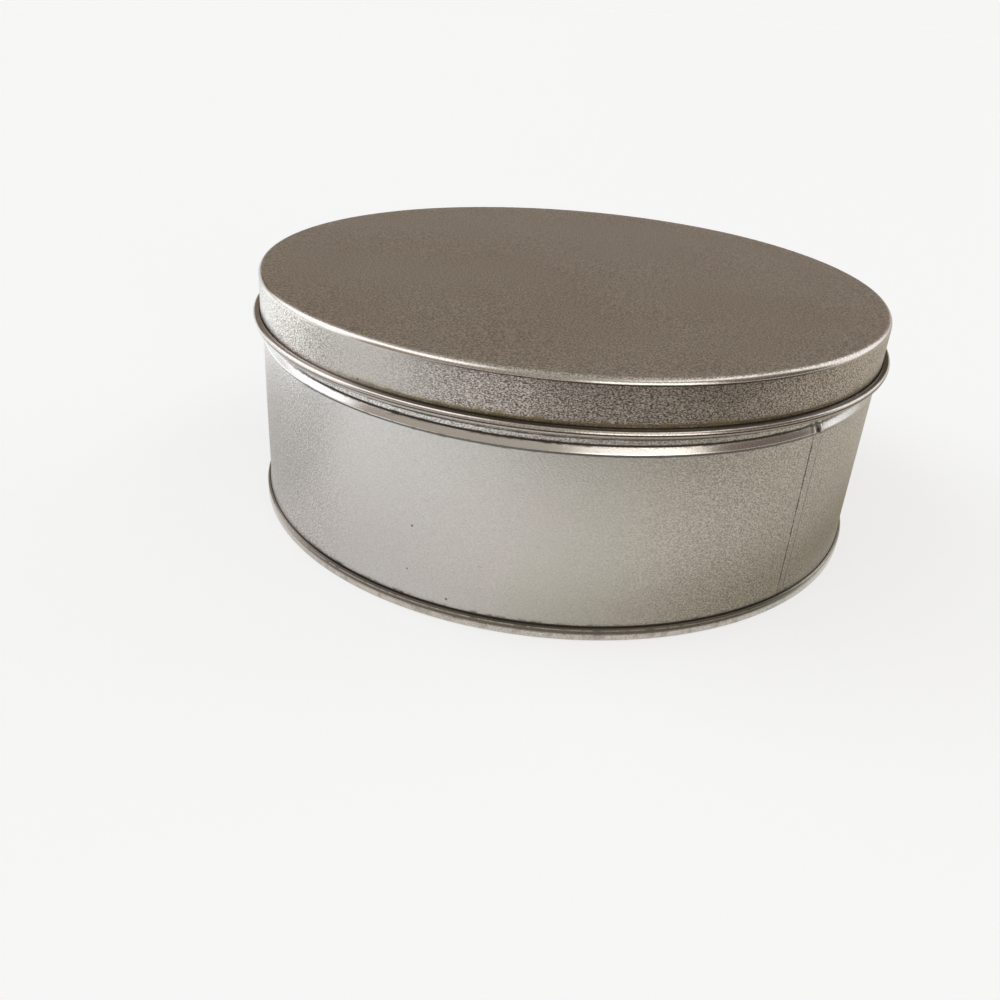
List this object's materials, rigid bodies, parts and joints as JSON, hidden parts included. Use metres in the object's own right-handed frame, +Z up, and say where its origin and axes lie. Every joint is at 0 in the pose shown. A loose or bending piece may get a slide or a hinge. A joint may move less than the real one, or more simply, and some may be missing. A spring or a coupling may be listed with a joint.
{
  "type": "metal tin",
  "caption": "Round tinplate storage tin with a flat slip-on lid that lifts off, rolled edges, a lock-seamed side and a double-seamed recessed base.",
  "frame": {"origin": "middle of the tin's footprint, on the surface it stands on", "axes": "+Z up along the tin's axis; -Y is the side seen first, and the side seam stands between +X and -Y"},
  "size_m": [0.1532, 0.1532, 0.0566],
  "materials": {
    "lid_tinplate": "satin tinplate with a fine stipple",
    "body_tinplate": "satin tinplate with a fine stipple",
    "base_tinplate": "satin tinplate with a fine stipple"
  },
  "bodies": {
    "container": {"body_wall": "body_tinplate", "base_end": "base_tinplate"},
    "cover": {"lid": "lid_tinplate"}
  },
  "joints": [
    {"name": "lid_lift", "type": "slide", "parent": "container", "child": "cover", "axis": [0, 0, 1], "range_m": [0, 0.06]}
  ]
}
